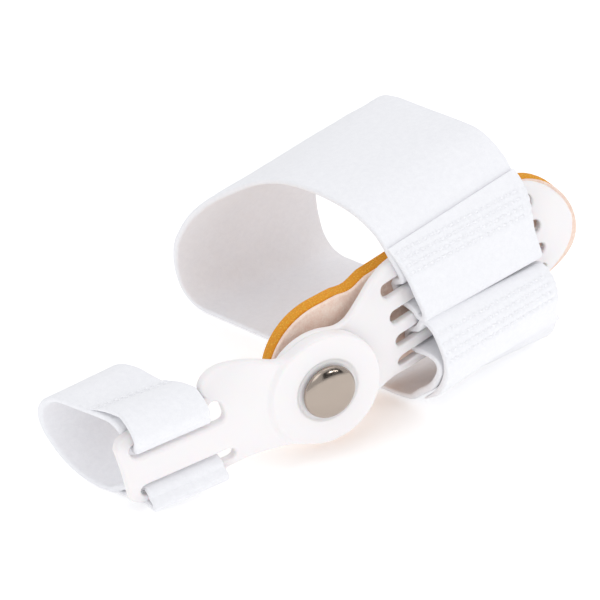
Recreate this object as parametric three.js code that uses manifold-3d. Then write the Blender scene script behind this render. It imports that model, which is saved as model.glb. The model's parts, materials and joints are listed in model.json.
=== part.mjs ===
// Hinged bunion corrector: two curved plastic halves on one rivet, a foam pad and two cloth straps.
// Millimetres, +Z up. It stands on the underside of its two straps, and the origin is on that surface,
// below the middle of the whole object. Along the splint, x runs from the toe end to the heel end.
// y runs from the outer face of the splint towards the foot, and the rivet lies along y.

import * as THREE from 'three';
import { mergeVertices } from 'three/addons/utils/BufferGeometryUtils.js';
import Module from 'manifold-3d';

const wasm = await Module();
wasm.setup();

// Clearance between neighbouring pieces, and how round things are divided
const gap = 0.3;
const roundSides = 36;

// Pose on the surface
const heelRise = 11.3;
const outwardLean = 4.6;
const rivetHeight = 23.7;

// Hinge
const discDiameter = 33;
const discThickness = 4;
const discEdgeRadius = 0.9;
const shankDiameter = 6;
const capDiameter = 15.5;
const capRimHeight = 0.7;
const capDomeHeight = 2.6;
const backHeadDiameter = 11;
const backHeadThickness = 1.4;

// Toe arm
const armLength = 60;
const armThickness = 3;
const armYaw = 6;
const armBendStart = 13;
const armCrossRadius = 32;
const armNeckHeight = 29;
const toeBarHeight = 9.2;
const toeSlotEndMargin = 4.6;

// Foot plate
const plateLength = 90.5;
const plateThickness = 2.6;
const plateYaw = 9;
const plateBendStart = 6;
const plateCrossRadius = 32;
const plateHeight = 36;
const plateCentreHeight = 2;
const slotBarHeight = 3.9;
const slotStart = 25.5;
const slotEndMargin = 4;

// Straps
const strapThickness = 2;
const strapEase = 0.15;
const slotPlay = 1.8;
const toeStrapWidth = 22;
const footStrapWidth = 50;
const footStrapGathered = 42.5;
const footStrapStart = 34.5;
const toeLoopDepth = 36;
const toeLoopHeight = 27;
const footLoopDepth = 107;
const footLoopHeight = 66;
const toeLoopSkew = 0.4;
const footLoopSkew = 0.09;

// Pad
const coverThickness = 1.2;
const foamThickness = 4.5;
const padLength = 107.5;
const padHeight = 42;
const padCentreHeight = -4.5;
const padLobeDiameter = 40;
const padLobeHeight = -1;
const padOverhang = 4.5;

const bend = (angle) => Math.tan(THREE.MathUtils.degToRad(angle));
const slotHeight = strapThickness + slotPlay;

// Solids and meshes

function toSolid(geometry) {
  const bare = geometry.clone();
  bare.deleteAttribute('normal');
  bare.deleteAttribute('uv');
  const merged = mergeVertices(bare, 1e-5);
  const vertProperties = new Float32Array(merged.attributes.position.array);
  const triVerts = new Uint32Array(merged.index.array);
  return new wasm.Manifold(new wasm.Mesh({ numProp: 3, vertProperties, triVerts }));
}

function toGeometry(solid) {
  const mesh = solid.getMesh();
  const geometry = new THREE.BufferGeometry();
  geometry.setAttribute('position', new THREE.BufferAttribute(new Float32Array(mesh.vertProperties), 3));
  geometry.setIndex(new THREE.BufferAttribute(new Uint32Array(mesh.triVerts), 1));
  geometry.computeVertexNormals();
  return geometry;
}

// A closed body from rings of points: each ring runs out along one face of a sheet and back along the
// other. Both faces are divided the same way, so that neighbouring sheets keep an even gap.
function bodyFromRings(rings) {
  const count = rings[0].length;
  const half = count / 2;
  const positions = rings.flat().flatMap((point) => [point.x, point.y, point.z]);
  const indices = [];
  for (let i = 0; i + 1 < rings.length; i += 1) {
    for (let j = 0; j < count; j += 1) {
      const next = (j + 1) % count;
      const a = i * count + j;
      const b = i * count + next;
      if (j < half) indices.push(a, b + count, b, a, a + count, b + count);
      else indices.push(a, a + count, b, b, a + count, b + count);
    }
  }
  const last = (rings.length - 1) * count;
  for (let j = 0; j + 1 < half; j += 1) {
    const back = count - 1 - j;
    indices.push(j, j + 1, back, j + 1, back - 1, back);
    indices.push(last + j, last + back, last + j + 1, last + j + 1, last + back, last + back - 1);
  }
  const geometry = new THREE.BufferGeometry();
  geometry.setAttribute('position', new THREE.Float32BufferAttribute(positions, 3));
  geometry.setIndex(indices);
  return geometry;
}

// A sheet of even depth along y whose outer face is y = face(x, z).
function curvedSheet({ from, to, low, high, stepX, stepZ, depth, face }) {
  const columns = Math.max(2, Math.round((to - from) / stepX));
  const rows = Math.max(2, Math.round((high - low) / stepZ));
  const rings = [];
  for (let i = 0; i <= columns; i += 1) {
    const x = from + ((to - from) * i) / columns;
    const ring = [];
    for (let j = 0; j <= rows; j += 1) {
      const z = low + ((high - low) * j) / rows;
      ring.push(new THREE.Vector3(x, face(x, z), z));
    }
    for (let j = rows; j >= 0; j -= 1) {
      const z = low + ((high - low) * j) / rows;
      ring.push(new THREE.Vector3(x, face(x, z) + depth, z));
    }
    rings.push(ring);
  }
  return bodyFromRings(rings);
}

// A straight prism through the sheets: the outline lies in x and z, and it runs along y.
function prism(outline, from, to) {
  const geometry = new THREE.ExtrudeGeometry(outline, {
    depth: to - from,
    bevelEnabled: false,
    curveSegments: 8,
  });
  geometry.rotateX(Math.PI / 2);
  geometry.translate(0, to, 0);
  return toSolid(geometry);
}

function cylinderAlongY(radius, from, to) {
  const geometry = new THREE.CylinderGeometry(radius, radius, to - from, roundSides);
  geometry.translate(0, (from + to) / 2, 0);
  return toSolid(geometry);
}

function latheAlongY(profile) {
  const points = profile.map(([radius, y]) => new THREE.Vector2(radius, y));
  return toSolid(new THREE.LatheGeometry(points, roundSides));
}

// A slot with round ends
function slotOutline(from, to, height) {
  const radius = slotHeight / 2;
  const outline = new THREE.Shape();
  outline.moveTo(from + radius, height - radius);
  outline.lineTo(to - radius, height - radius);
  outline.absarc(to - radius, height, radius, -Math.PI / 2, Math.PI / 2, false);
  outline.lineTo(from + radius, height + radius);
  outline.absarc(from + radius, height, radius, Math.PI / 2, (3 * Math.PI) / 2, false);
  return outline;
}

// An outline through the upper edge and back along the lower one, from rows of along, top and bottom.
function outlineFromRows(rows, length, height, centre) {
  const upper = rows.map((row) => new THREE.Vector2(row.along * length, centre + row.top * height));
  const lower = rows.map((row) => new THREE.Vector2(row.along * length, centre + row.bottom * height));
  const outline = new THREE.Shape();
  outline.moveTo(upper[0].x, upper[0].y);
  outline.splineThru(upper.slice(1));
  outline.lineTo(lower.at(-1).x, lower.at(-1).y);
  outline.splineThru(lower.slice(0, -1).reverse());
  outline.closePath();
  return outline;
}

// How far a half has turned in towards the foot at a distance from the rivet, with a soft start
function turnIn(distance, start, angle) {
  const softness = 8;
  const past = distance - start;
  if (past <= 0) return 0;
  if (past < softness) return (bend(angle) * past * past) / (2 * softness);
  return bend(angle) * (past - softness / 2);
}

function fade(value, from, to) {
  const share = THREE.MathUtils.clamp((value - from) / (to - from), 0, 1);
  return share * share * (3 - 2 * share);
}

// Outer faces of the two halves. The hinge disc and the plate's lug are flat, the rest is arched.

function armFace(x, z) {
  const distance = -x;
  const arch = (fade(distance, discDiameter / 2 - 5, discDiameter / 2 + 12) * z * z) / (2 * armCrossRadius);
  return -armThickness + turnIn(distance, armBendStart, armYaw) + arch;
}

function plateFace(x, z) {
  const up = z - plateCentreHeight;
  const arch = (fade(x, 8, slotStart) * up * up) / (2 * plateCrossRadius);
  return gap + turnIn(x, plateBendStart, plateYaw) + arch;
}

// Toe arm: a disc at the hinge, a broad neck and a slotted end that holds the toe strap

const armRows = [
  { along: -0.12, top: 0.43, bottom: -0.45 },
  { along: -0.27, top: 0.6, bottom: -0.39 },
  { along: -0.38, top: 0.63, bottom: -0.37 },
  { along: -0.46, top: 0.56, bottom: -0.38 },
  { along: -0.51, top: 0.44, bottom: -0.4 },
  { along: -0.56, top: 0.42, bottom: -0.395 },
  { along: -0.8, top: 0.42, bottom: -0.38 },
  { along: -0.95, top: 0.385, bottom: -0.355 },
  { along: -1, top: 0.3, bottom: -0.28 },
];

const toeSlotInnerEnd = -armLength + toeSlotEndMargin + toeStrapWidth + 4.4;
const toeSlotOuterEnd = -armLength + toeSlotEndMargin - 1.2;
const toeSlotCentre = (toeBarHeight + slotHeight) / 2;

function toeArm() {
  const reach = 12;
  const sheet = toSolid(curvedSheet({
    from: -armLength - 2,
    to: 0,
    low: -armNeckHeight,
    high: armNeckHeight,
    stepX: 2.5,
    stepZ: 2.5,
    depth: armThickness,
    face: armFace,
  }));
  const outline = prism(outlineFromRows(armRows, armLength, armNeckHeight, 0), -reach, 2 * reach);
  const radius = discDiameter / 2;
  const disc = latheAlongY([
    [0, -discThickness],
    [radius - discEdgeRadius, -discThickness],
    [radius - discEdgeRadius * 0.3, -discThickness + discEdgeRadius * 0.3],
    [radius, -discThickness + discEdgeRadius],
    [radius, 0],
    [0, 0],
  ]);
  let arm = sheet.intersect(outline).add(disc);
  for (const height of [toeSlotCentre, -toeSlotCentre]) {
    const slot = slotOutline(toeSlotOuterEnd, toeSlotInnerEnd, height);
    arm = arm.subtract(prism(slot, -reach, 2 * reach));
  }
  return arm.subtract(cylinderAlongY(shankDiameter / 2 + gap, -reach, reach));
}

// Foot plate: a round lug under the disc that widens into a long arched plate with four slots

const plateRows = [
  { along: -0.06, top: 0.28, bottom: -0.45 },
  { along: 0.1, top: 0.31, bottom: -0.46 },
  { along: 0.2, top: 0.385, bottom: -0.45 },
  { along: 0.28, top: 0.45, bottom: -0.465 },
  { along: 0.36, top: 0.49, bottom: -0.485 },
  { along: 0.6, top: 0.5, bottom: -0.5 },
  { along: 0.84, top: 0.46, bottom: -0.46 },
  { along: 0.93, top: 0.36, bottom: -0.36 },
  { along: 0.98, top: 0.2, bottom: -0.2 },
  { along: 1, top: 0.02, bottom: -0.02 },
];

const slotHeights = [1.5, 0.5, -0.5, -1.5].map((share) => (
  plateCentreHeight + share * (slotHeight + slotBarHeight)
));

function footPlate() {
  const reach = 40;
  const sheet = toSolid(curvedSheet({
    from: -discDiameter,
    to: plateLength + 2,
    low: plateCentreHeight - plateHeight,
    high: plateCentreHeight + plateHeight,
    stepX: 3.6,
    stepZ: 2.6,
    depth: plateThickness,
    face: plateFace,
  }));
  const outline = prism(outlineFromRows(plateRows, plateLength, plateHeight, plateCentreHeight), -reach, reach);
  const lug = new THREE.Shape();
  lug.absarc(0, 0, discDiameter / 2 - 0.6, 0, 2 * Math.PI, false);
  let plate = sheet.intersect(outline.add(prism(lug, -reach, reach)));
  for (const height of slotHeights) {
    const slot = slotOutline(slotStart, slotStart + footStrapWidth + slotEndMargin, height);
    plate = plate.subtract(prism(slot, -reach, reach));
  }
  return plate.subtract(cylinderAlongY(shankDiameter / 2 + gap, -reach, reach));
}

// Rivet: a domed cap outside the disc, a shank through both halves and a flat head behind the lug

function hingeRivet() {
  const shank = shankDiameter / 2;
  const rim = -discThickness - gap;
  const capEdge = rim - capRimHeight;
  const back = gap + plateThickness + gap;
  const dome = [];
  const domeSteps = 5;
  for (let i = 0; i <= domeSteps; i += 1) {
    const angle = (Math.PI / 2) * (i / domeSteps);
    const radius = (capDiameter / 2) * Math.sin(angle);
    dome.push([radius, capEdge - capDomeHeight * Math.cos(angle)]);
  }
  return latheAlongY([
    ...dome,
    [capDiameter / 2, rim],
    [shank, rim],
    [shank, back],
    [backHeadDiameter / 2, back],
    [backHeadDiameter / 2, back + backHeadThickness],
    [0, back + backHeadThickness],
  ]);
}

// Pad: a velour cover towards the plate and a foam layer towards the foot, both of one outline

const coverDepth = plateThickness + 2 * (gap + strapEase) + strapThickness + gap;
const foamDepth = coverDepth + coverThickness + gap;

function padOutline() {
  const lobe = new THREE.Shape();
  const lobeRadius = padLobeDiameter / 2;
  const rear = plateLength + padOverhang;
  const lobeCentre = rear - padLength + lobeRadius;
  lobe.absarc(lobeCentre, padLobeHeight, lobeRadius, 0, 2 * Math.PI, false);
  const half = padHeight / 2;
  const front = lobeCentre + lobeRadius * 0.42;
  const corner = half * 0.42;
  const body = new THREE.Shape();
  body.moveTo(front + corner, padCentreHeight + half);
  body.lineTo(rear - half * 0.95, padCentreHeight + half);
  body.bezierCurveTo(
    rear - half * 0.35,
    padCentreHeight + half,
    rear,
    padCentreHeight + half * 0.5,
    rear,
    padCentreHeight - half * 0.15,
  );
  body.bezierCurveTo(
    rear,
    padCentreHeight - half * 0.7,
    rear - half * 0.3,
    padCentreHeight - half,
    rear - half * 0.8,
    padCentreHeight - half,
  );
  body.lineTo(front + corner, padCentreHeight - half);
  body.quadraticCurveTo(front, padCentreHeight - half, front, padCentreHeight - half + corner);
  body.lineTo(front, padCentreHeight + half - corner);
  body.quadraticCurveTo(front, padCentreHeight + half, front + corner, padCentreHeight + half);
  return [lobe, body];
}

function padLayer(depth, thickness) {
  const reach = 60;
  const sheet = toSolid(curvedSheet({
    from: -discDiameter,
    to: plateLength + padOverhang + 2,
    low: padCentreHeight - padHeight,
    high: padCentreHeight + padHeight,
    stepX: 5.4,
    stepZ: 4.3,
    depth: thickness,
    face: (x, z) => plateFace(x, z) + depth,
  }));
  const [lobe, body] = padOutline();
  return sheet.intersect(prism(lobe, -reach, reach).add(prism(body, -reach, reach)));
}

// Straps: a ribbon of even thickness along a smooth line. Its points are depth from the outer face of the
// half that carries the strap, and height across that half. Each edge of the strap has its own line.

const halfStrap = strapThickness / 2;
const strapOffset = gap + strapEase + halfStrap;

const linePoint = (depth, height) => new THREE.Vector3(depth, height, 0);

// Height of the surface that the object stands on, in the splint's own frame
const upright = new THREE.Vector3(0, 0, 1)
  .applyAxisAngle(new THREE.Vector3(0, 1, 0), THREE.MathUtils.degToRad(heelRise))
  .applyAxisAngle(new THREE.Vector3(1, 0, 0), THREE.MathUtils.degToRad(-outwardLean));

function surfaceHeight(x, y) {
  return -(rivetHeight + upright.x * x + upright.y * y) / upright.z;
}

// Lowest that the middle of a strap gets at a place: there it lies on the surface
function lyingHeight(seat) {
  return surfaceHeight(seat.x, seat.y) + halfStrap;
}

function smoothLine(points) {
  const divisions = 2 * (points.length - 1);
  return new THREE.CatmullRomCurve3(points, false, 'centripetal').getPoints(divisions);
}

function ribbon(near, far, stations, place) {
  const nearLine = smoothLine(near);
  const farLine = smoothLine(far);
  const rings = [];
  for (let i = 0; i <= stations; i += 1) {
    const share = i / stations;
    const line = nearLine.map((point, j) => {
      const { x: depth, y: height } = point.clone().lerp(farLine[j], share);
      return linePoint(depth, Math.max(height, lyingHeight(place(share, depth, height))));
    });
    const left = [];
    const right = [];
    line.forEach((point, j) => {
      const before = line[Math.max(0, j - 1)];
      const after = line[Math.min(line.length - 1, j + 1)];
      const along = after.clone().sub(before).normalize();
      const across = linePoint(-along.y, along.x).multiplyScalar(halfStrap);
      left.push(point.clone().add(across));
      right.push(point.clone().sub(across));
    });
    rings.push([...left, ...right.reverse()].map((point) => place(share, point.x, point.y)));
  }
  return toSolid(bodyFromRings(rings));
}

// Points of one edge from rows of shares of the loop's depth and height. A row without columns of its own
// for the far edge is the same at both. A row with a lift lies that many thicknesses above the surface.
function edgePoints(rows, { depth, height, centre, place }, share) {
  return rows.map((row) => {
    const rowDepth = share > 0 ? (row.farDepth ?? row.depth) : row.depth;
    const rowHeight = share > 0 ? (row.farHeight ?? row.height) : row.height;
    if (row.lift === undefined) return linePoint(rowDepth * depth, centre + rowHeight * height);
    const lift = share > 0 ? (row.farLift ?? row.lift) : row.lift;
    const lying = lyingHeight(place(share, rowDepth * depth, -height / 2));
    return linePoint(rowDepth * depth, lying + lift * strapThickness);
  });
}

// Points of a strap through a slot, from outside a half to inside it. It turns up where a turn is 1 and
// down where it is -1.
function throughSlot({ face, thickness, slot, outsideTurn, insideTurn }) {
  const near = 0.5 * strapThickness;
  const clear = 1.1 * strapThickness;
  const beside = (turn, reach, offset) => linePoint(face(slot + turn * reach) + offset, slot + turn * reach);
  return [
    beside(outsideTurn, clear, -strapOffset),
    beside(outsideTurn, near, -0.62 * strapOffset),
    beside(0, 0, thickness / 2),
    beside(insideTurn, near, thickness + 0.62 * strapOffset),
    beside(insideTurn, clear, thickness + strapOffset),
  ];
}

// Toe strap: each end goes out through a slot of the arm, round the rail beyond it and back onto the loop

const toeLoopRows = [
  { depth: 0.175, height: 0.41, farDepth: 0.172, farHeight: 0.39 },
  { depth: 0.235, height: 0.5, farDepth: 0.24, farHeight: 0.46 },
  { depth: 0.36, height: 0.53, farDepth: 0.36, farHeight: 0.48 },
  { depth: 0.555, height: 0.54, farDepth: 0.515, farHeight: 0.53 },
  { depth: 0.765, height: 0.54, farDepth: 0.67, farHeight: 0.58 },
  { depth: 0.89, height: 0.445, farDepth: 0.835, farHeight: 0.54 },
  { depth: 0.97, height: 0.28, farDepth: 0.955, farHeight: 0.37 },
  { depth: 0.98, height: 0.085, farDepth: 1, farHeight: 0.13 },
  { depth: 0.93, height: -0.105, farDepth: 1, farHeight: -0.13 },
  { depth: 0.835, height: -0.29, farDepth: 0.94, farHeight: -0.3 },
  { depth: 0.71, height: -0.41, farDepth: 0.82, farHeight: -0.42 },
  { depth: 0.57, lift: 0, farDepth: 0.62, farLift: 2.1 },
  { depth: 0.45, lift: 0, farDepth: 0.47, farLift: 2.1 },
  { depth: 0.32, lift: 1.3, farLift: 3.4 },
  { depth: 0.22, lift: 1.35, farLift: 3.4 },
];

const toeUpperWrapRows = [
  { depth: -0.045, height: 0.39, farDepth: -0.034, farHeight: 0.39 },
  { depth: -0.038, height: 0.49, farDepth: -0.017, farHeight: 0.475 },
  { depth: 0.055, height: 0.6, farDepth: 0.09, farHeight: 0.55 },
  { depth: 0.22, height: 0.637, farDepth: 0.23, farHeight: 0.57 },
  { depth: 0.42, height: 0.59, farDepth: 0.42, farHeight: 0.54 },
];

const toeLowerWrapRows = [
  { depth: -0.053, height: -0.39 },
  { depth: -0.01, height: -0.448 },
  { depth: 0.1, lift: 0, farLift: 2 },
  { depth: 0.24, lift: 0, farLift: 2 },
  { depth: 0.38, lift: 0, farLift: 2 },
];

// Past the arm, the loop also leans towards the toe
function placeOnArm(share, depth, height) {
  const distance = armLength - toeSlotEndMargin - share * toeStrapWidth;
  const past = Math.max(0, depth - armThickness - strapOffset);
  return new THREE.Vector3(-distance - toeLoopSkew * past, armFace(-distance, 0) + depth, height);
}

function toeStrap() {
  const stations = 3;
  const loop = { depth: toeLoopDepth, height: toeLoopHeight, centre: 0, place: placeOnArm };
  const face = (height) => (height * height) / (2 * armCrossRadius);
  const pass = (turn) => throughSlot({
    face,
    thickness: armThickness,
    slot: turn * toeSlotCentre,
    outsideTurn: turn,
    insideTurn: turn,
  });
  const main = [0, 1].map((share) => [
    ...pass(1),
    ...edgePoints(toeLoopRows, loop, share),
    ...pass(-1).reverse(),
  ]);
  const wrap = (turn, rows) => [0, 1].map((share) => [
    ...pass(turn).slice(0, 3).reverse(),
    ...edgePoints(rows, loop, share),
  ]);
  const upper = wrap(1, toeUpperWrapRows);
  const lower = wrap(-1, toeLowerWrapRows);
  return ribbon(...main, stations, placeOnArm)
    .add(ribbon(...upper, stations, placeOnArm))
    .add(ribbon(...lower, stations, placeOnArm));
}

// Foot strap: each end goes behind the bar between two slots of the plate and back onto the loop

const footLoopRows = [
  { depth: 0.0215, height: 0.243 },
  { depth: 0.0336, height: 0.279 },
  { depth: 0.0514, height: 0.326 },
  { depth: 0.0794, height: 0.379 },
  { depth: 0.1355, height: 0.43, farHeight: 0.415 },
  { depth: 0.215, height: 0.471, farHeight: 0.447 },
  { depth: 0.3037, height: 0.482, farHeight: 0.451 },
  { depth: 0.411, height: 0.458, farHeight: 0.433 },
  { depth: 0.523, height: 0.397, farHeight: 0.39 },
  { depth: 0.645, height: 0.282 },
  { depth: 0.757, height: 0.161, farDepth: 0.752, farHeight: 0.159 },
  { depth: 0.85, height: 0.039, farDepth: 0.836, farHeight: 0.027 },
  { depth: 0.916, height: -0.068, farDepth: 0.907, farHeight: -0.098 },
  { depth: 0.972, height: -0.189, farDepth: 0.951, farHeight: -0.227 },
  { depth: 0.997, height: -0.288, farDepth: 0.975, farHeight: -0.364 },
  { depth: 1.007, height: -0.379, farDepth: 0.985, farHeight: -0.485 },
  { depth: 0.998, height: -0.468, farDepth: 0.981, farHeight: -0.597 },
  { depth: 0.967, height: -0.518, farDepth: 0.958, farHeight: -0.664 },
  { depth: 0.92, lift: 0, farDepth: 0.911 },
  { depth: 0.654, lift: 0 },
  { depth: 0.374, lift: 0 },
  { depth: 0.159, lift: 0 },
  { depth: 0.089, height: -0.479, farDepth: 0.098, farHeight: -0.621 },
  { depth: 0.0523, height: -0.432, farDepth: 0.062, farHeight: -0.553 },
  { depth: 0.0374, height: -0.371, farDepth: 0.041, farHeight: -0.462 },
  { depth: 0.029, height: -0.303, farDepth: 0.031, farHeight: -0.348 },
  { depth: 0.0224, height: -0.255, farDepth: 0.0224, farHeight: -0.258 },
];

const footUpperWrapRows = [
  { depth: -0.0178, height: 0.127 },
  { depth: -0.0196, height: 0.173 },
  { depth: -0.0112, height: 0.23 },
  { depth: 0.0075, height: 0.292 },
  { depth: 0.0402, height: 0.352 },
  { depth: 0.0804, height: 0.4 },
];

const footLowerWrapRows = [
  { depth: -0.0336, height: -0.0076, farDepth: -0.0308, farHeight: -0.012 },
  { depth: -0.0607, height: -0.038, farDepth: -0.0542, farHeight: -0.045 },
  { depth: -0.0785, height: -0.1, farDepth: -0.0673, farHeight: -0.114 },
  { depth: -0.0832, height: -0.167, farDepth: -0.0692, farHeight: -0.189 },
  { depth: -0.0729, height: -0.242, farDepth: -0.0523, farHeight: -0.255 },
  { depth: -0.0449, height: -0.323, farDepth: -0.0262, farHeight: -0.327 },
  { depth: -0.0093, height: -0.388, farDepth: 0.0056, farHeight: -0.397 },
  { depth: 0.0393, height: -0.444, farDepth: 0.0336, farHeight: -0.479 },
];

// The strap is gathered where it passes the plate, and spreads to its whole width along the loop
function placeOnPlate(share, depth, height) {
  const below = plateCentreHeight - plateHeight / 2 - height;
  const spread = Math.max(fade(depth, plateThickness + foamThickness, footLoopDepth / 2), fade(below, 0, plateHeight / 2));
  const extra = spread * (footStrapWidth - footStrapGathered);
  const distance = footStrapStart - 0.2 * extra + share * (footStrapGathered + extra);
  const turn = THREE.MathUtils.degToRad(plateYaw);
  return new THREE.Vector3(
    distance - depth * (Math.sin(turn) + footLoopSkew),
    plateFace(distance, plateCentreHeight) + depth * Math.cos(turn),
    height,
  );
}

function footStrap() {
  const stations = 4;
  const loop = { depth: footLoopDepth, height: footLoopHeight, centre: plateCentreHeight, place: placeOnPlate };
  const face = (height) => (height - plateCentreHeight) ** 2 / (2 * plateCrossRadius);
  const [highest, upper, lower, lowest] = slotHeights;
  const pass = (slot, outsideTurn, insideTurn) => throughSlot({
    face,
    thickness: plateThickness,
    slot,
    outsideTurn,
    insideTurn,
  });
  const behindBar = (slot, other) => {
    const height = slot + (other - slot) * 0.6;
    return linePoint(face(height) + plateThickness + strapOffset, height);
  };
  const main = [0, 1].map((share) => [
    behindBar(highest, upper),
    ...pass(highest, 1, -1).reverse(),
    ...edgePoints(footLoopRows, loop, share),
    ...pass(lowest, -1, 1),
    behindBar(lowest, lower),
  ]);
  const upperWrap = [0, 1].map((share) => [
    behindBar(upper, highest),
    ...pass(upper, 1, 1).reverse(),
    ...edgePoints(footUpperWrapRows, loop, share),
  ]);
  const lowerWrap = [0, 1].map((share) => [
    behindBar(lower, lowest),
    ...pass(lower, 1, -1).reverse(),
    ...edgePoints(footLowerWrapRows, loop, share),
  ]);
  return ribbon(...main, stations, placeOnPlate)
    .add(ribbon(...upperWrap, stations, placeOnPlate))
    .add(ribbon(...lowerWrap, stations, placeOnPlate));
}

const splint = new THREE.Group();
splint.rotation.set(THREE.MathUtils.degToRad(outwardLean), 0, 0);
const risen = new THREE.Group();
risen.rotation.set(0, THREE.MathUtils.degToRad(-heelRise), 0);
risen.add(splint);
const part = new THREE.Group();
part.add(risen);

function addPiece(name, solid, look) {
  const mesh = new THREE.Mesh(toGeometry(solid), new THREE.MeshStandardMaterial(look));
  mesh.name = name;
  splint.add(mesh);
  return mesh;
}

const whitePlastic = { color: 0xf5f1ef, roughness: 0.28, metalness: 0 };
addPiece('toe_arm', toeArm(), whitePlastic);
addPiece('foot_plate', footPlate(), whitePlastic);
addPiece('hinge_rivet', hingeRivet(), { color: 0xb3a79c, roughness: 0.2, metalness: 1 });
addPiece('pad_cover', padLayer(coverDepth, coverThickness), { color: 0xdec4b2, roughness: 0.95, metalness: 0 });
addPiece('pad_foam', padLayer(foamDepth, foamThickness), { color: 0xe8a52d, roughness: 0.9, metalness: 0 });
addPiece('toe_strap', toeStrap(), { color: 0xf4f4fa, roughness: 0.95, metalness: 0 });
addPiece('foot_strap', footStrap(), { color: 0xf4f4fa, roughness: 0.95, metalness: 0 });

part.updateMatrixWorld(true);
const bounds = new THREE.Box3().setFromObject(part, true);
const middle = bounds.getCenter(new THREE.Vector3());
risen.position.set(-middle.x, -middle.y, -bounds.min.z);

export default part;
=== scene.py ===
import bisect
import json
import math

import bmesh
import bpy
from mathutils import Matrix, Vector, noise


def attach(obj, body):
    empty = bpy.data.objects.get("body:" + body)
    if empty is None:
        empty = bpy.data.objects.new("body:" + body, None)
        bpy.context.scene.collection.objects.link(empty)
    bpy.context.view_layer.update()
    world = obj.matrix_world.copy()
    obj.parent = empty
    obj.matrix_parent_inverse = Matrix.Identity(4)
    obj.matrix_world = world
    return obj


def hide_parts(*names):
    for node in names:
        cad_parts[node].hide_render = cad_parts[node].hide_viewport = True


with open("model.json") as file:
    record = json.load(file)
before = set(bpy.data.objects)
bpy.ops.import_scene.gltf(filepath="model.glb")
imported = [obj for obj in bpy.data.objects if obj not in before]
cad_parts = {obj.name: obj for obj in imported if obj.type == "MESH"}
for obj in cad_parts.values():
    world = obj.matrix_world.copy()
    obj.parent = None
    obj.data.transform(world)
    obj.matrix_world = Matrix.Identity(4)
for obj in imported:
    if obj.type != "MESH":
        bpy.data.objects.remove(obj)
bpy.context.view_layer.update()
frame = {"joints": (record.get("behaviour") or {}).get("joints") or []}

print("bunion corrector: frame loaded")

# The splint is modelled in millimetres in its own frame: x from the toe end to the heel end, y from its
# outer face towards the foot, z across it. Its origin is on the rivet, between the two plastic halves.
standing = {"heelRise": 11.3, "outwardLean": 4.6, "rivetHeight": 23.7}   # degrees, degrees, mm
hingePlace = Vector(frame["joints"][0]["pos_m"])
leaning = (Matrix.Rotation(math.radians(-standing["heelRise"]), 4, "Y")
           @ Matrix.Rotation(math.radians(standing["outwardLean"]), 4, "X"))
splintFrame = Matrix.Translation(hingePlace) @ leaning @ Matrix.Scale(0.001, 4)
upright = leaning.to_3x3().transposed() @ Vector((0, 0, 1))

# Sizes in mm, angles in degrees
hinge = {"gap": 0.3, "discDiameter": 33.0, "discThickness": 4.0, "discEdge": 1.5, "recessDiameter": 17.4,
         "recessDepth": 0.4, "recessEdge": 0.9, "shankDiameter": 6.0, "capDiameter": 15.5, "capRim": 0.7,
         "capDome": 2.6, "backHeadDiameter": 11.0, "backHeadThickness": 1.4,
         "capEdge": [(0, 0.35), (-0.12, 0.6), (-0.4, 0.72)],
         "backEdge": [(0, -0.5), (-0.15, -0.15), (-0.5, 0)]}
arm = {"length": 60.0, "thickness": 3.0, "yaw": 6.0, "bendStart": 13.0, "crossRadius": 32.0,
       "neckHeight": 29.0, "barHeight": 9.2, "slotEndMargin": 4.6, "slotLift": 2.2, "slotInward": 4.4,
       "slotOutward": 1.2, "archFrom": -5, "archTo": 12, "edgeRadius": 0.8}
plate = {"length": 90.5, "thickness": 2.6, "yaw": 9.0, "bendStart": 6.0, "crossRadius": 32.0, "height": 36.0,
         "centre": 2.0, "slotBar": 3.9, "slotStart": 25.5, "slotEndMargin": 4.0, "archFrom": 8,
         "lugInset": 0.6, "edgeRadius": 0.7}
pad = {"length": 107.5, "height": 42.0, "centre": -4.5, "lobeDiameter": 40.0, "lobeHeight": -1.0,
       "overhang": 4.5, "coverThickness": 1.2, "foamThickness": 4.5, "coverEdge": 0.5, "foamEdge": 1.1}
strap = {"thickness": 2.0, "ease": 0.15, "slotPlay": 1.8, "edgeRound": 0.9, "step": 1.1, "fineStep": 0.45,
         "fineReach": 34.0, "across": 0.6, "endShare": 0.4, "endReach": 9.0, "edgePower": 2.4,
         "slotHug": 0.62}
waves = {"size": 0.3, "depths": (12, 30), "heights": (1, 9), "slow": (0.05, 0.035), "quick": (0.16, 0.1),
         "quickShare": 0.35, "shift": 7}
toeStrap = {"width": 22.0, "height": 27.0, "skew": 0.4}
# The foot strap is gathered in its slots. It spreads to its width with depth, and fans out higher up.
footStrap = {"width": 50.0, "gathered": 42.0, "start": 32.4, "looseStart": 33.0, "spreadFrom": 7,
             "spreadOver": 46, "fan": 3.2, "fanHeights": (6, 24), "height": 66.0, "skew": 0.09}
slotHeight = strap["thickness"] + strap["slotPlay"]
strapOffset = hinge["gap"] + strap["ease"] + strap["thickness"] / 2

# Outlines, as shares of a half's length and height
armRows = [(-0.12, 0.43, -0.45), (-0.27, 0.6, -0.39), (-0.38, 0.63, -0.37), (-0.46, 0.615, -0.38),
           (-0.51, 0.58, -0.39), (-0.54, 0.53, -0.395), (-0.553, 0.47, -0.395), (-0.565, 0.42, -0.395),
           (-0.8, 0.42, -0.38), (-0.95, 0.385, -0.355), (-1, 0.3, -0.28)]
plateRows = [(-0.06, 0.28, -0.45), (0.1, 0.31, -0.46), (0.2, 0.385, -0.45), (0.28, 0.45, -0.465),
             (0.36, 0.49, -0.485), (0.6, 0.5, -0.5), (0.84, 0.46, -0.46), (0.93, 0.36, -0.36),
             (0.98, 0.2, -0.2), (1, 0.02, -0.02)]
slotHeights = [plate["centre"] + share * (slotHeight + plate["slotBar"]) for share in (1.5, 0.5, -0.5, -1.5)]
toeSlotCentre = (arm["barHeight"] + slotHeight) / 2

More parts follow.
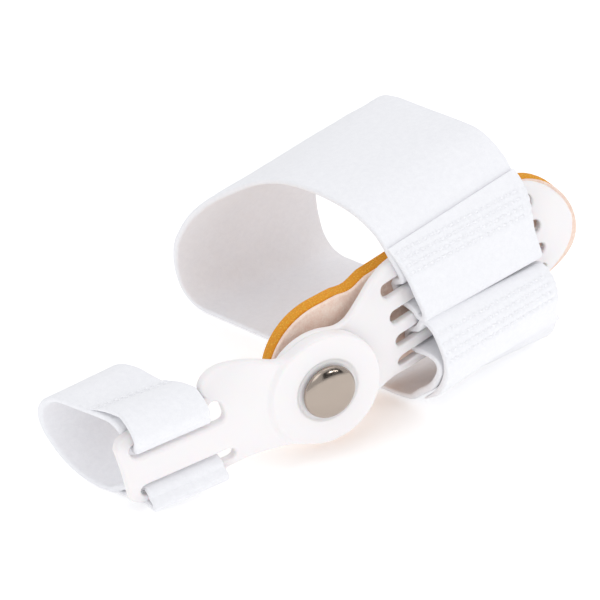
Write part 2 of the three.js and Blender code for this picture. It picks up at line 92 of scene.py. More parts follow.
# Lines of the straps, in mm: depth from the outer face of the half that carries the strap and height
# across it, first at the edge towards the toe and then at the edge towards the heel. In a row that ends in
# lift, the heights are how many thicknesses above the surface the strap lies.
toeLoopRows = [
    (6.3, 11.1, 6.2, 10.5), (8.5, 13.5, 8.6, 12.4), (13, 14.3, 13, 13), (20, 14.6, 18.5, 14.3),
    (27.5, 14.6, 24.1, 15.7), (32, 12, 30.1, 14.6), (34.9, 7.6, 34.4, 10), (35.3, 2.3, 36, 3.5),
    (33.5, -2.8, 36, -3.5), (30.1, -7.8, 33.8, -8.1), (25.6, -11.1, 29.5, -11.3),
    (20.5, 0, 22.3, 2.1, "lift"), (16.2, 0, 16.9, 2.1, "lift"), (11.5, 1.3, 11.5, 3.4, "lift"),
    (7.9, 1.35, 7.9, 3.4, "lift")]
toeUpperRows = [
    (-1.6, 10.5, -1.2, 10.5), (-1.4, 13.2, -0.6, 12.8), (2, 16.2, 3.2, 14.9), (7.9, 17.2, 8.3, 15.4),
    (15.1, 15.9, 15.1, 14.6)]
toeLowerRows = [
    (-1.9, -10.5, -1.9, -10.5), (-0.4, -12.1, -0.4, -12.1), (3.6, 0, 3.6, 2, "lift"),
    (8.6, 0, 8.6, 2, "lift"), (13.7, 0, 13.7, 2, "lift")]
footLoopRows = [
    (2.3, 18, 2.3, 18), (3.6, 20.4, 3.6, 20.4), (5.1, 23.4, 5.1, 23.8), (7.4, 27.2, 7, 27.8),
    (12.6, 31, 12, 31.3), (18, 32.8, 16.5, 32.5), (24, 33.6, 21, 32.3), (32.5, 33.8, 32.5, 30.9),
    (44, 32.2, 44, 29.6), (54, 28.9, 56, 28.2), (60, 26, 59.6, 27.3), (69, 20.6, 69, 20.6),
    (81, 12.6, 80.5, 12.5), (91, 4.6, 89.5, 3.8),
    (98, -2.5, 97, -4.5), (104, -10.5, 101.8, -13), (106.7, -17, 104.3, -22), (107.7, -23, 105.4, -30),
    (106.8, -28.9, 105, -37.4), (103.5, -32.2, 102.5, -41.8), (98.4, 0, 97.5, 0, "lift"),
    (70, 0, 70, 0, "lift"), (40, 0, 40, 0, "lift"), (17, 0, 17, 0, "lift"), (10.5, -29.4, 10.5, -37.5),
    (7.9, -27.4, 7.5, -32.8), (5.4, -25.4, 5.2, -28.1), (0.6, -21.9, 2.7, -23.9), (-2.8, -18, -0.1, -20.1),
    (-5.4, -13.4, -3, -15.8), (-5, -10.6, -4.4, -12.3), (-2.4, -9.4, -2.2, -9.6)]
footUpperRows = [
    (-3.3, 3.2, -2.9, -0.4), (-4.6, 4.6, -3.9, 0.6), (-4.3, 7.5, -3.7, 3.6), (-3.2, 10.8, -3, 8),
    (-2.4, 13.8, -2.2, 13), (-1.1, 17.2, -1.1, 17.2), (1.1, 21, 1.1, 21), (3.9, 24.4, 3.8, 24.6)]
footLowerRows = [
    (-3.8, 2.6, -3.4, -3.4), (-6.6, 0.6, -6, -5.2), (-8.4, -4.6, -7.4, -9), (-8.9, -9, -7, -13),
    (-7.8, -14, -5, -17), (-4.8, -19.3, -2, -21.5), (-1, -23.6, 1, -25.2), (4.2, -27.3, 3.6, -29.6)]

# Sewn bands: how far from the strap's end the first row is, and how the rows and stitches are spaced, in mm
upperBand = {"from": 2.2, "slant": 3.6, "rows": 4, "apart": 2.2, "pitch": 2.4, "stitch": 1.9, "margin": 1.2}
lowerBand = {"from": 29.5, "slant": 1.0, "rows": 4, "apart": -2.6, "pitch": 2.4, "stitch": 1.9,
             "margin": 1.2}
toeBand = {"from": 2.0, "slant": 0.0, "rows": 2, "apart": 1.8, "pitch": 2.2, "stitch": 1.6, "margin": 1.0}
thread = {"radius": 0.33, "sides": 6, "rings": 5, "sink": 0.15, "dent": 0.64, "dentWidth": 0.62,
          "puff": 0.45, "sway": 0.12, "arch": 0.3, "endSink": 0.1, "probe": 0.4, "tip": 0.45, "flatter": 1.2}

# How finely the sheets are cut before they are bent, and between which lines
cuts = {"arm": 1.5, "disc": 0.5, "plate": 1.5, "plateFront": -16, "plateHeights": (-20, 22),
        "pad": 1.8, "padAlong": (-14, 96), "padHeights": (-26, 20)}


def turnIn(distance, start, angle, softness=8.0):
    past = distance - start
    slope = math.tan(math.radians(angle))
    if past <= 0:
        return 0.0
    return slope * past * past / (2 * softness) if past < softness else slope * (past - softness / 2)


def fade(value, start, end):
    share = min(1.0, max(0.0, (value - start) / (end - start)))
    return share * share * (3 - 2 * share)


def armFace(x, z):
    radius = hinge["discDiameter"] / 2
    arch = fade(-x, radius + arm["archFrom"], radius + arm["archTo"]) * z * z / (2 * arm["crossRadius"])
    return -arm["thickness"] + turnIn(-x, arm["bendStart"], arm["yaw"]) + arch


def plateFace(x, z):
    up = z - plate["centre"]
    arch = fade(x, plate["archFrom"], plate["slotStart"]) * up * up / (2 * plate["crossRadius"])
    return hinge["gap"] + turnIn(x, plate["bendStart"], plate["yaw"]) + arch


def surfaceHeight(x, y):
    return -(standing["rivetHeight"] + upright.x * x + upright.y * y) / upright.z


# Outlines of the sheet pieces

def splineThrough(points, perSpan=12):
    last = len(points) - 1
    line = []
    for i in range(last):
        p0, p1, p2, p3 = (Vector(points[min(max(i + k, 0), last)]) for k in (-1, 0, 1, 2))
        v1, v2 = (p2 - p0) / 2, (p3 - p1) / 2
        for k in range(perSpan):
            t = k / perSpan
            line.append((2 * t**3 - 3 * t**2 + 1) * p1 + (t**3 - 2 * t**2 + t) * v1
                        + (3 * t**2 - 2 * t**3) * p2 + (t**3 - t**2) * v2)
    return line + [Vector(points[-1])]


def outlineFromRows(rows, length, height, centre):
    upper = [(along * length, centre + top * height) for along, top, bottom in rows]
    lower = [(along * length, centre + bottom * height) for along, top, bottom in rows]
    return splineThrough(upper) + splineThrough(lower[::-1])


def bezier(start, first, second, end, count=14):
    points = [Vector(p) for p in (start, first, second, end)]
    line = []
    for k in range(1, count + 1):
        t = k / count
        weights = ((1 - t)**3, 3 * t * (1 - t)**2, 3 * t * t * (1 - t), t**3)
        line.append(sum((w * p for w, p in zip(weights, points)), Vector((0, 0))))
    return line


def evenly(line, step):
    closed = line + [line[0]]
    lengths = [0.0]
    for a, b in zip(closed, closed[1:]):
        lengths.append(lengths[-1] + (b - a).length)
    count = max(12, round(lengths[-1] / step))
    points = []
    for k in range(count):
        distance = lengths[-1] * k / count
        i = min(bisect.bisect_right(lengths, distance) - 1, len(line) - 1)
        span = lengths[i + 1] - lengths[i]
        points.append(closed[i].lerp(closed[i + 1], (distance - lengths[i]) / span if span else 0))
    return points


# The outline of a disc and of a shape that grows out of it, with the corners between them filled
def joinDisc(line, centre, radius, fillet=3.0, step=0.7):
    centre = Vector(centre)
    fineStep = 0.4
    line = evenly(line, fineStep)
    inside = [(p - centre).length < radius for p in line]
    first = inside.index(True)
    line, inside = line[first:] + line[:first], inside[first:] + inside[:first]
    runs, run = [], []
    for p, hidden in zip(line + [line[0]], inside + [True]):
        if hidden:
            runs.append(run)
            run = []
        else:
            run.append(p)
    shape = max(runs, key=len)
    angles = [math.atan2(p.y - centre.y, p.x - centre.x) for p in (shape[-1], shape[0])]
    away = centre - sum(shape, Vector((0, 0))) / len(shape)
    sweep = (angles[1] - angles[0]) % (2 * math.pi)
    if (math.atan2(away.y, away.x) - angles[0]) % (2 * math.pi) > sweep:
        sweep -= 2 * math.pi
    spans = max(8, round(abs(sweep) * radius / fineStep))
    rounding = []
    for k in range(1, spans):
        angle = angles[0] + sweep * k / spans
        rounding.append(centre + radius * Vector((math.cos(angle), math.sin(angle))))
    corners = [shape[0], shape[-1]]
    joined = evenly(shape + rounding, step)
    count = len(joined)
    softness = [max(1 - (p - corner).length / fillet for corner in corners) for p in joined]
    smoothings, pull = 14, 0.9
    for turn in range(smoothings):
        joined = [joined[i].lerp((joined[i - 1] + joined[(i + 1) % count]) / 2, pull)
                  if softness[i] > 0 else joined[i] for i in range(count)]
    return joined


def arc(x, z, radius, turn, stop, count=8):
    angles = [math.pi * (turn + (stop - turn) * k / count) for k in range(count + 1)]
    return [Vector((x + radius * math.cos(angle), z + radius * math.sin(angle))) for angle in angles]


# A slot with round ends. With a lift, its end towards the heel is open further up.
def slotOutline(start, end, height, lift=0.0):
    radius = slotHeight / 2
    line = arc(end - radius, height, radius, -0.5, 0) + arc(end - radius, height + lift, radius, 0, 0.5)
    if lift:
        line += arc(end - radius, height + lift, radius, 0.5, 1)
        line.append(Vector((end - 2 * radius, height + radius)))
    return evenly(line + arc(start + radius, height, radius, 0.5, 1.5), 0.7)


def circle(radius, count=40):
    return [radius * Vector((math.cos(2 * math.pi * k / count), math.sin(2 * math.pi * k / count)))
            for k in range(count)]


def padOutline():
    radius, half = pad["lobeDiameter"] / 2, pad["height"] / 2
    rear = plate["length"] + pad["overhang"]
    middle = rear - pad["length"] + radius
    front = middle + radius * 0.42
    corner = half * 0.42
    centre = pad["centre"]
    top, bottom = centre + half, centre - half
    body = [Vector((front + corner, top)), Vector((rear - half * 0.95, top))]
    body += bezier(body[-1], (rear - half * 0.35, top), (rear, centre + half * 0.5),
                   (rear, centre - half * 0.15))
    body += bezier(body[-1], (rear, centre - half * 0.7), (rear - half * 0.3, bottom),
                   (rear - half * 0.8, bottom))
    body.append(Vector((front + corner, bottom)))
    body += bezier(body[-1], (front + corner / 3, bottom), (front, bottom + corner / 3),
                   (front, bottom + corner))
    body.append(Vector((front, top - corner)))
    body += bezier(body[-1], (front, top - corner / 3), (front + corner / 3, top), (front + corner, top))
    return joinDisc(body, (middle, pad["lobeHeight"]), radius, fillet=5.0)


# Meshes

def addObject(name, mesh, body, slot, *nodes):
    piece = bpy.data.objects.new(name, mesh)
    bpy.context.scene.collection.objects.link(piece)
    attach(piece, body)
    if nodes:
        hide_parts(*nodes)
    return piece


def thickOutline(name, loops, thickness, edgeRadius):
    curve = bpy.data.curves.new(name, "CURVE")
    curve.dimensions = "2D"
    curve.fill_mode = "BOTH"
    curve.extrude = thickness / 2 - edgeRadius
    curve.bevel_depth = edgeRadius
    curve.bevel_resolution = 3
    curve.offset = -edgeRadius
    for loop in loops:
        spline = curve.splines.new("POLY")
        spline.points.add(len(loop) - 1)
        spline.points.foreach_set("co", [value for p in loop for value in (p.x, p.y, 0, 1)])
        spline.use_cyclic_u = True
    holder = bpy.data.objects.new(name, curve)
    bpy.context.scene.collection.objects.link(holder)
    shown = holder.evaluated_get(bpy.context.evaluated_depsgraph_get())
    mesh = bpy.data.meshes.new_from_object(shown)
    bpy.data.objects.remove(holder)
    bpy.data.curves.remove(curve)
    return mesh


# A sheet with rounded edges and holes, bent so that its outer face is y = face(x, z) - relief(x, z)
def sheetPiece(name, loops, thickness, edgeRadius, face, relief, cutsX, cutsZ):
    mesh = thickOutline(name, loops, thickness, edgeRadius)
    shape = bmesh.new()
    shape.from_mesh(mesh)
    bmesh.ops.remove_doubles(shape, verts=shape.verts, dist=1e-4)
    for cuts, normal in ((cutsX, (1, 0, 0)), (cutsZ, (0, 1, 0))):
        for cut in cuts:
            geometry = shape.verts[:] + shape.edges[:] + shape.faces[:]
            bmesh.ops.bisect_plane(shape, geom=geometry, plane_co=[cut * n for n in normal], plane_no=normal,
                                   dist=1e-5)
    bmesh.ops.recalc_face_normals(shape, faces=shape.faces)
    shape.normal_update()
    turn = splintFrame.to_3x3().normalized()
    normals = []
    nudge = 0.05
    for vertex in shape.verts:
        u, v, w = vertex.co
        g = vertex.normal.copy()
        if abs(w) > thickness / 2 - 1e-3:
            g = Vector((0, 0, math.copysign(1, w)))
        outer = 1.0 if w > 0 else 0.0

        def skin(x, z):
            return face(x, z) - outer * relief(x, z)

        slopeX = (skin(u + nudge, v) - skin(u - nudge, v)) / (2 * nudge)
        slopeZ = (skin(u, v + nudge) - skin(u, v - nudge)) / (2 * nudge)
        normal = Vector((g.x + g.z * slopeX, -g.z, g.y + g.z * slopeZ))
        normals.append((turn @ normal).normalized())
        vertex.co = splintFrame @ Vector((u, skin(u, v) + thickness / 2 - w, v))
    shape.to_mesh(mesh)
    shape.free()
    mesh.shade_smooth()
    mesh.normals_split_custom_set_from_vertices(normals)
    return mesh


def steps(start, end, size):
    count = max(1, round((end - start) / size))
    return [start + (end - start) * k / count for k in range(count + 1)]


def noRelief(x, z):
    return 0.0


def discRelief(x, z):
    reach = math.hypot(x, z)
    edge = hinge["discDiameter"] / 2
    raised = hinge["discThickness"] - arm["thickness"]
    raised *= 1 - fade(reach, edge - 0.2, edge + hinge["discEdge"])
    recess = hinge["recessDiameter"] / 2
    return raised - hinge["recessDepth"] * (1 - fade(reach, recess, recess + hinge["recessEdge"]))


def lathe(profile, sides=96):
    shape = bmesh.new()
    rings = []
    for radius, y in profile:
        if radius < 1e-6:
            rings.append([shape.verts.new((0, y, 0))])
            continue
        turns = [2 * math.pi * k / sides for k in range(sides)]
        rings.append([shape.verts.new((radius * math.cos(a), y, radius * math.sin(a))) for a in turns])
    for a, b in zip(rings, rings[1:]):
        for k in range(sides):
            n = (k + 1) % sides
            corners = [a[k % len(a)], a[n % len(a)], b[n % len(b)], b[k % len(b)]]
            shape.faces.new(list(dict.fromkeys(corners)))
    bmesh.ops.recalc_face_normals(shape, faces=shape.faces)
    return shape


def rivetProfile():
    rim = -hinge["discThickness"] + 0.1
    edge = -hinge["discThickness"] - hinge["gap"] - hinge["capRim"]
    radius = hinge["capDiameter"] / 2
    back = hinge["gap"] + plate["thickness"] + hinge["gap"]
    shank = hinge["shankDiameter"] / 2
    head = hinge["backHeadDiameter"] / 2
    profile = []
    for k in range(25):
        angle = math.pi / 2 * k / 24
        profile.append((radius * math.sin(angle), edge - hinge["capDome"] * math.cos(angle)))
    profile += [(radius + outward, edge + down) for outward, down in hinge["capEdge"]]
    profile += [(shank, rim - 0.1), (shank, back), (head - 0.4, back), (head, back + 0.4)]
    end = back + hinge["backHeadThickness"]
    return profile + [(head + outward, end + down) for outward, down in hinge["backEdge"]] + [(0, end)]


# Straps

def placeOnArm(share, depth, height):
    distance = arm["length"] - arm["slotEndMargin"] - share * toeStrap["width"]
    past = max(0, depth - arm["thickness"] - strapOffset)
    return Vector((-distance - toeStrap["skew"] * past, armFace(-distance, 0) + depth, height))


def placeOnPlate(share, depth, height):
    below = plate["centre"] - plate["height"] / 2 - height
    loosened = min(1, max(0, (depth - footStrap["spreadFrom"]) / footStrap["spreadOver"]))
    spread = max(loosened, fade(below, 0, plate["height"] / 2))
    start = footStrap["start"] + spread * (footStrap["looseStart"] - footStrap["start"])
    gathered = footStrap["gathered"] + footStrap["fan"] * fade(height, *footStrap["fanHeights"])
    distance = start + share * (gathered + spread * (footStrap["width"] - gathered))
    turn = math.radians(plate["yaw"])
    return Vector((distance - depth * (math.sin(turn) + footStrap["skew"]),
                   plateFace(distance, plate["centre"]) + depth * math.cos(turn), height))


def lyingHeight(seat):
    return surfaceHeight(seat.x, seat.y) + strap["thickness"] / 2


def edgePoints(rows, loop, place, share):
    points = []
    for row in rows:
        depth, height = (row[2], row[3]) if share else (row[0], row[1])
        if row[-1] == "lift":
            lying = lyingHeight(place(share, depth, -loop["height"] / 2))
            points.append(Vector((depth, lying + height * strap["thickness"])))
        else:
            points.append(Vector((depth, height)))
    return points


# Five places of a strap that goes in through a slot, from the outer side to the inner
def throughSlot(face, thickness, slot, outsideTurn, insideTurn):
    near, clear = 0.5 * strap["thickness"], 1.1 * strap["thickness"]
    hug = strap["slotHug"] * strapOffset

    def beside(turn, reach, offset):
        return Vector((face(slot + turn * reach) + offset, slot + turn * reach))

    return [beside(outsideTurn, clear, -strapOffset), beside(outsideTurn, near, -hug),
            beside(0, 0, thickness / 2), beside(insideTurn, near, thickness + hug),
            beside(insideTurn, clear, thickness + strapOffset)]


def smoothLine(points, perSpan=10):
    line = []
    last = len(points) - 1
    for i in range(last):
        p1, p2 = points[i], points[i + 1]
        p0 = points[i - 1] if i else 2 * points[0] - points[1]
        p3 = points[i + 2] if i + 2 <= last else 2 * points[last] - points[last - 1]
        d0, d1, d2 = ((b - a).length ** 0.5 for a, b in ((p0, p1), (p1, p2), (p2, p3)))
        v1 = ((p1 - p0) / d0 - (p2 - p0) / (d0 + d1) + (p2 - p1) / d1) * d1
        v2 = ((p2 - p1) / d1 - (p3 - p1) / (d1 + d2) + (p3 - p2) / d2) * d1
        for k in range(perSpan):
            t = k / perSpan
            line.append((2 * t**3 - 3 * t**2 + 1) * p1 + (t**3 - 2 * t**2 + t) * v1
                        + (3 * t**2 - 2 * t**3) * p2 + (t**3 - t**2) * v2)
    return line + [points[-1]]


# Share of the whole thickness at a distance from an edge of a strap
def roundness(distance):
    inward = min(1.0, max(0.0, distance / strap["edgeRound"]))
    return (1 - (1 - inward) ** strap["edgePower"]) ** (1 / strap["edgePower"])


# A strap between two edge lines of depth and height. A share of 0 is its edge towards the toe, 1 the other.
class Ribbon:
    def __init__(self, near, far, place, width, bands):
        self.place, self.width, self.bands = place, width, bands
        self.near, self.far = smoothLine(near), smoothLine(far)
        middle = [self.centre(0.5, i) for i in range(len(self.near))]
        lengths = [0.0]
        for a, b in zip(middle, middle[1:]):
            lengths.append(lengths[-1] + (place(0.5, *b) - place(0.5, *a)).length)
        self.lengths = lengths
        self.length = lengths[-1]

    def centre(self, share, i):
        point = self.near[i].lerp(self.far[i], share)
        return Vector((point.x, max(point.y, lyingHeight(self.place(share, *point)))))

    # Middle of the strap in depth and height, and the direction through it, at a distance along it
    def at(self, share, distance):
        i = min(max(bisect.bisect_right(self.lengths, distance) - 1, 0), len(self.near) - 2)
        t = (distance - self.lengths[i]) / (self.lengths[i + 1] - self.lengths[i])
        before, start = self.centre(share, max(i - 1, 0)), self.centre(share, i)
        end, after = self.centre(share, i + 1), self.centre(share, min(i + 2, len(self.near) - 1))
        along = (end - before).normalized().lerp((after - start).normalized(), t).normalized()
        return start.lerp(end, t), Vector((-along.y, along.x))

    # Place in the splint's frame, offset from the middle of the strap along its thickness
    def skin(self, share, distance, offset):
        middle, through = self.at(share, distance)
        seat = self.place(share, *middle)
        offset *= self.flatness(distance)
        if offset < 0:
            offset += self.dent(share, distance)
        point = middle + through * (offset + self.wrinkle(seat, middle))
        return self.place(share, *point)

    # Share of the thickness that is left where the threads press an end down
    def flatness(self, distance):
        away = min(distance, self.length - distance)
        return strap["endShare"] + (1 - strap["endShare"]) * fade(away, 0, strap["endReach"])

    # How far the threads of the sewn bands pull the outer side in
    def dent(self, share, distance):
        deepest = 0.0
        for band, fromEnd in self.bands:
            along = self.length - distance if fromEnd else distance
            along -= band["from"] + band["slant"] * share
            row = min(max(round(along / band["apart"]), 0), band["rows"] - 1)
            away = (along - row * band["apart"]) / thread["dentWidth"]
            across = (share * self.width - band["margin"]) / band["pitch"]
            puff = 1 - thread["puff"] + thread["puff"] * math.cos(2 * math.pi * across)
            deepest = max(deepest, thread["dent"] * puff * math.exp(-away * away))
        return deepest

    # Slight waves, only where the strap is away from the splint and from the surface that it lies on
    def wrinkle(self, seat, middle):
        free = fade(middle.x, *waves["depths"]) * fade(seat.z - lyingHeight(seat), *waves["heights"])
        slowAlong, slowAcross = waves["slow"]
        quickAlong, quickAcross = waves["quick"]
        slow = noise.noise(Vector((seat.x * slowAlong, seat.y * slowAcross, seat.z * slowAcross)))
        quick = noise.noise(Vector((seat.x * quickAlong + waves["shift"], seat.y * quickAcross,
                                    seat.z * quickAcross)))
        return waves["size"] * free * (slow + waves["quickShare"] * quick) * self.width / footStrap["width"]


def ribbonMesh(name, ribbon):
    half = strap["thickness"] / 2
    edges = [0, 0.08, 0.22, 0.42, 0.68, 1.0]
    rim = [strap["edgeRound"] * e / ribbon.width for e in edges]
    inner = steps(rim[-1], 1 - rim[-1], strap["across"] / ribbon.width)
    shares = rim[:-1] + inner + [1 - value for value in rim[-2::-1]]
    ends = [strap["edgeRound"] * e for e in edges]
    fine = strap["fineReach"]
    rows = ends[:-1] + steps(ends[-1], fine, strap["fineStep"])[:-1]
    rows += steps(fine, ribbon.length - fine, strap["step"])[:-1]
    rows += steps(ribbon.length - fine, ribbon.length - ends[-1], strap["fineStep"])
    rows += [ribbon.length - value for value in ends[-2::-1]]
    shape = bmesh.new()
    rings = []
    for distance in rows:
        endShare = roundness(min(distance, ribbon.length - distance))
        ring = []
        for side, line in ((1, shares), (-1, shares[::-1])):
            for share in line:
                across = min(share, 1 - share) * ribbon.width
                offset = side * half * min(endShare, roundness(across))
                ring.append(shape.verts.new(splintFrame @ ribbon.skin(share, distance, offset)))
        rings.append(ring)
    count = len(rings[0])
    for a, b in zip(rings, rings[1:]):
        for k in range(count):
            n = (k + 1) % count
            shape.faces.new((a[k], a[n], b[n], b[k]))
    bmesh.ops.remove_doubles(shape, verts=shape.verts, dist=1e-7)
    bmesh.ops.recalc_face_normals(shape, faces=shape.faces)
    mesh = bpy.data.meshes.new(name)
    shape.to_mesh(mesh)
    shape.free()
    mesh.shade_smooth()
    return mesh


# Short threads in rows across the outer side of the strap
def stitchMesh(name, ribbon):
    shape = bmesh.new()
    outward = -1
    for band, fromEnd in ribbon.bands:
        for row in range(band["rows"]):
            count = int((ribbon.width - 2 * band["margin"]) / band["pitch"])
            for k in range(count):
                across = band["margin"] + (k + 0.5) * band["pitch"]
                distance = band["from"] + row * band["apart"] + band["slant"] * across / ribbon.width
                distance = ribbon.length - distance if fromEnd else distance
                sway = thread["sway"] * noise.noise(Vector((across * 0.9, row * 3.1, band["from"])))
                half = strap["thickness"] / 2 - thread["sink"]
                rings = []
                for ring in range(thread["rings"]):
                    along = -1 + 2 * ring / (thread["rings"] - 1)
                    share = (across + along * band["stitch"] / 2) / ribbon.width
                    spot = distance + sway
                    rise = half + thread["arch"] * (1 - along * along) - thread["endSink"]
                    middle = ribbon.skin(share, spot, outward * rise)
                    out = (ribbon.skin(share, spot, outward * half * 1.2)
                           - ribbon.skin(share, spot, 0)).normalized()
                    lengthwise = (ribbon.skin(share, spot + thread["probe"], outward * half)
                                  - ribbon.skin(share, spot - thread["probe"], outward * half)).normalized()
                    full = (1 - along * along) ** 0.5
                    radius = thread["radius"] * (thread["tip"] + (1 - thread["tip"]) * full)
                    turns = [2 * math.pi * s / thread["sides"] for s in range(thread["sides"])]
                    rings.append([shape.verts.new(splintFrame @ (middle + radius * (
                        math.cos(a) * out + thread["flatter"] * math.sin(a) * lengthwise))) for a in turns])
                for a, b in zip(rings, rings[1:]):
                    for s in range(thread["sides"]):
                        n = (s + 1) % thread["sides"]
                        shape.faces.new((a[s], a[n], b[n], b[s]))
                shape.faces.new(rings[0][::-1])
                shape.faces.new(rings[-1])
    bmesh.ops.recalc_face_normals(shape, faces=shape.faces)
    mesh = bpy.data.meshes.new(name)
    shape.to_mesh(mesh)
    shape.free()
    mesh.shade_smooth()
    return mesh


def makeToeRibbon():
    def edge(share):
        def ends(turn):
            return throughSlot(lambda height: height * height / (2 * arm["crossRadius"]), arm["thickness"],
                               turn * toeSlotCentre, turn, turn)

        upper = edgePoints(toeUpperRows, toeStrap, placeOnArm, share)
        lower = edgePoints(toeLowerRows, toeStrap, placeOnArm, share)
        loop = edgePoints(toeLoopRows, toeStrap, placeOnArm, share)
        return upper[::-1] + ends(1) + loop + ends(-1)[::-1] + lower

    return Ribbon(edge(0), edge(1), placeOnArm, toeStrap["width"], [(toeBand, False)])


def makeFootRibbon():
    def edge(share):
        def through(slot, outside, inside):
            return throughSlot(lambda height: (height - plate["centre"]) ** 2 / (2 * plate["crossRadius"]),
                               plate["thickness"], slot, outside, inside)

        highest, upper, lower, lowest = slotHeights
        upperFlap = edgePoints(footUpperRows, footStrap, placeOnPlate, share)
        lowerFlap = edgePoints(footLowerRows, footStrap, placeOnPlate, share)
        loop = edgePoints(footLoopRows, footStrap, placeOnPlate, share)
        return (upperFlap[::-1] + through(upper, -1, 1) + through(highest, 1, -1)[::-1] + loop
                + through(lowest, -1, 1)[2:] + through(lower, 1 - 2 * share, -1)[::-1] + lowerFlap)

    return Ribbon(edge(0), edge(1), placeOnPlate, footStrap["width"],
                  [(upperBand, False), (lowerBand, True)])


# Looks

def nodeOf(tree, kind, **values):
    node = tree.nodes.new(kind)
    for key, value in values.items():
        if key.startswith("in_"):
            node.inputs[key[3:].replace("_", " ")].default_value = value
        else:
            setattr(node, key, value)
    return node


def startGroup(name, inputs, outputs):
    group = bpy.data.node_groups.new(name, "ShaderNodeTree")
    for label, kind, value in inputs:
        socket = group.interface.new_socket(label, in_out="INPUT", socket_type=kind)
        if value is not None:
            socket.default_value = value
    for label, kind in outputs:
        group.interface.new_socket(label, in_out="OUTPUT", socket_type=kind)
    return group, group.nodes.new("NodeGroupInput"), group.nodes.new("NodeGroupOutput")


# Brushed cloth: short fibres and clumps of them. Puts out a mask and a normal.
def napGroup():
    group, given, result = startGroup(
        "nap", [("Vector", "NodeSocketVector", None), ("Fibre", "NodeSocketFloat", 2600.0),
                ("Clump", "NodeSocketFloat", 420.0), ("Strength", "NodeSocketFloat", 0.35)],
        [("Mask", "NodeSocketFloat"), ("Normal", "NodeSocketVector")])
    link = group.links.new
    fibres = nodeOf(group, "ShaderNodeTexNoise", in_Detail=4.0, in_Roughness=0.65, in_Distortion=0.6)
    clumps = nodeOf(group, "ShaderNodeTexNoise", in_Detail=3.0, in_Roughness=0.6)
    for node, scale in ((fibres, "Fibre"), (clumps, "Clump")):
        link(given.outputs["Vector"], node.inputs["Vector"])
        link(given.outputs[scale], node.inputs["Scale"])
    both = nodeOf(group, "ShaderNodeMath", operation="ADD")
    half = nodeOf(group, "ShaderNodeMath", operation="MULTIPLY")
    half.inputs[1].default_value = 0.5
    link(fibres.outputs["Fac"], both.inputs[0])
    link(clumps.outputs["Fac"], both.inputs[1])
    link(both.outputs[0], half.inputs[0])
    bump = nodeOf(group, "ShaderNodeBump", in_Distance=0.0006)
    link(given.outputs["Strength"], bump.inputs["Strength"])
    link(half.outputs[0], bump.inputs["Height"])
    link(half.outputs[0], result.inputs["Mask"])
    link(bump.outputs["Normal"], result.inputs["Normal"])
    return group


# Open cells of foam. Puts out how deep a place is in a pore, and a normal. The foam's look uses the depth to
# paint the pores darker, as painted shade inside the cells.
def poreGroup():
    group, given, result = startGroup(
        "pores", [("Vector", "NodeSocketVector", None), ("Scale", "NodeSocketFloat", 1500.0),
                  ("Strength", "NodeSocketFloat", 0.6)],
        [("Mask", "NodeSocketFloat"), ("Normal", "NodeSocketVector")])
    link = group.links.new
    cells = nodeOf(group, "ShaderNodeTexVoronoi", in_Randomness=1.0)
    link(given.outputs["Vector"], cells.inputs["Vector"])
    link(given.outputs["Scale"], cells.inputs["Scale"])
    depth = nodeOf(group, "ShaderNodeMapRange")
    depth.inputs["From Min"].default_value = 0.15
    depth.inputs["From Max"].default_value = 0.5
    link(cells.outputs["Distance"], depth.inputs["Value"])
    bump = nodeOf(group, "ShaderNodeBump", in_Distance=0.0005)
    link(given.outputs["Strength"], bump.inputs["Strength"])
    link(depth.outputs["Result"], bump.inputs["Height"])
    link(depth.outputs["Result"], result.inputs["Mask"])
    link(bump.outputs["Normal"], result.inputs["Normal"])
    return group


def startLook(name, values):
    material = bpy.data.materials.new(name)
    material.use_nodes = True
    tree = material.node_tree
    shader = tree.nodes["Principled BSDF"]
    for label, value in values.items():
        shader.inputs[label].default_value = value
    place = tree.nodes.new("ShaderNodeTexCoord").outputs["Object"]
    return material, tree, shader, place


def mixed(tree, mask, low, high):
    mix = nodeOf(tree, "ShaderNodeMix", data_type="RGBA")
    mix.inputs["A"].default_value = (*low, 1)
    mix.inputs["B"].default_value = (*high, 1)
    tree.links.new(mask, mix.inputs["Factor"])
    return mix.outputs["Result"]


def stretched(tree, value, low, high, toLow=0.0, toHigh=1.0):
    span = nodeOf(tree, "ShaderNodeMapRange")
    for label, number in (("From Min", low), ("From Max", high), ("To Min", toLow), ("To Max", toHigh)):
        span.inputs[label].default_value = number
    tree.links.new(value, span.inputs["Value"])
    return span.outputs["Result"]


def napLook(name, nap, low, high, fibre, clump, strength, values):
    material, tree, shader, place = startLook(name, values)
    group = nodeOf(tree, "ShaderNodeGroup", node_tree=nap, in_Fibre=fibre, in_Clump=clump,
                   in_Strength=strength)
    tree.links.new(place, group.inputs["Vector"])
    mask = stretched(tree, group.outputs["Mask"], 0.36, 0.64)
    tree.links.new(mixed(tree, mask, low, high), shader.inputs["Base Color"])
    tree.links.new(group.outputs["Normal"], shader.inputs["Normal"])
    return material


def plasticLook():
    material, tree, shader, place = startLook("white_moulding", {
        "Base Color": (0.87, 0.845, 0.85, 1), "IOR": 1.49, "Subsurface Weight": 0.12,
        "Subsurface Scale": 0.0015})
    film = nodeOf(tree, "ShaderNodeTexNoise", in_Scale=25.0, in_Detail=2.0)
    grain = nodeOf(tree, "ShaderNodeTexNoise", in_Scale=900.0, in_Detail=2.0)
    for node in (film, grain):
        tree.links.new(place, node.inputs["Vector"])
    tree.links.new(stretched(tree, film.outputs["Fac"], 0.3, 0.7, 0.27, 0.31), shader.inputs["Roughness"])
    bump = nodeOf(tree, "ShaderNodeBump", in_Strength=0.04, in_Distance=0.0004)
    tree.links.new(grain.outputs["Fac"], bump.inputs["Height"])
    tree.links.new(bump.outputs["Normal"], shader.inputs["Normal"])
    return material


